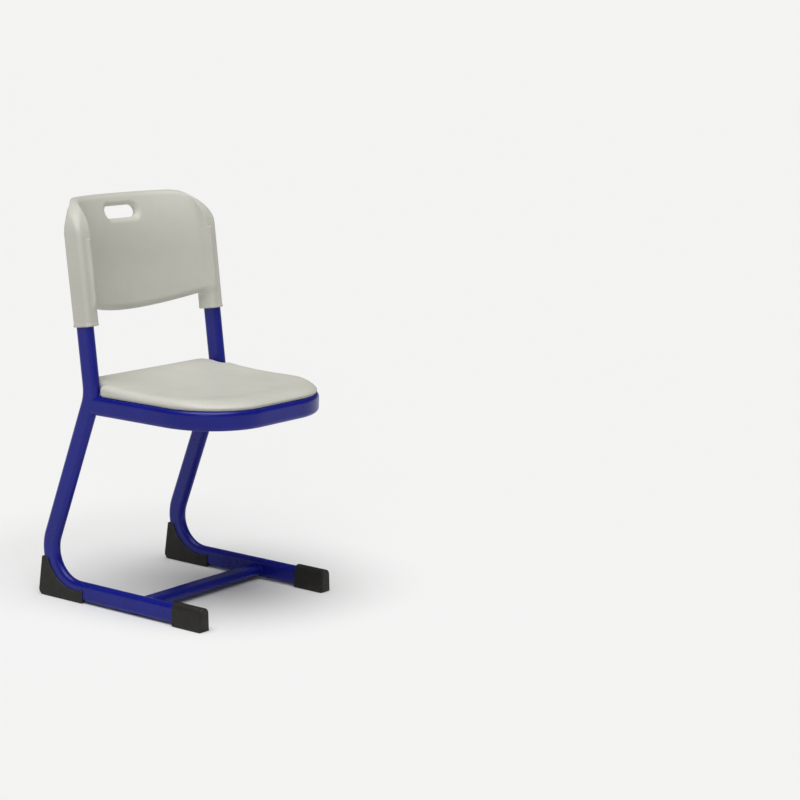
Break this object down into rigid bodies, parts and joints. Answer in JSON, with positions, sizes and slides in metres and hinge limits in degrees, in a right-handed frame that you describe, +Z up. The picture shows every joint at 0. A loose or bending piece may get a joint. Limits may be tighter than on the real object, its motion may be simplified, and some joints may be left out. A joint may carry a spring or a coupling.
{
  "type": "school chair",
  "caption": "Classroom chair with a bent flat-oval tube frame, moulded seat panel, bowed backrest with a hand hole and black plastic feet.",
  "frame": {"origin": "centre of the chair's bounding box on the floor", "axes": "+Z up, the sitter faces -Y, the sitter's left hand is on +X"},
  "size_m": [0.415, 0.479, 0.8214],
  "materials": {
    "frame_paint": "semi-gloss blue powder coat over steel tube",
    "pale_plastic": "satin, fine moulded texture",
    "black_plastic": "satin charcoal polypropylene",
    "zinc_steel": "bright zinc plate",
    "brass": "plain turned"
  },
  "bodies": {
    "root": {"side_tube_right": "frame_paint", "side_tube_left": "frame_paint", "seat_rim": "frame_paint", "rear_seat_rail": "frame_paint", "floor_crossbar": "frame_paint", "seat_bracket_front_right": "frame_paint", "seat_bracket_front_left": "frame_paint", "seat_bracket_rear_right": "frame_paint", "seat_bracket_rear_left": "frame_paint", "seat_panel": "pale_plastic", "seat_inserts": "brass", "seat_washers": "zinc_steel", "seat_screws": "zinc_steel", "backrest_shell": "pale_plastic", "backrest_screws": "zinc_steel", "upright_plug_right": "black_plastic", "upright_plug_left": "black_plastic", "front_cap_right": "black_plastic", "front_cap_left": "black_plastic", "rear_foot_right": "black_plastic", "rear_foot_left": "black_plastic", "foot_screws": "zinc_steel"}
  },
  "joints": []
}
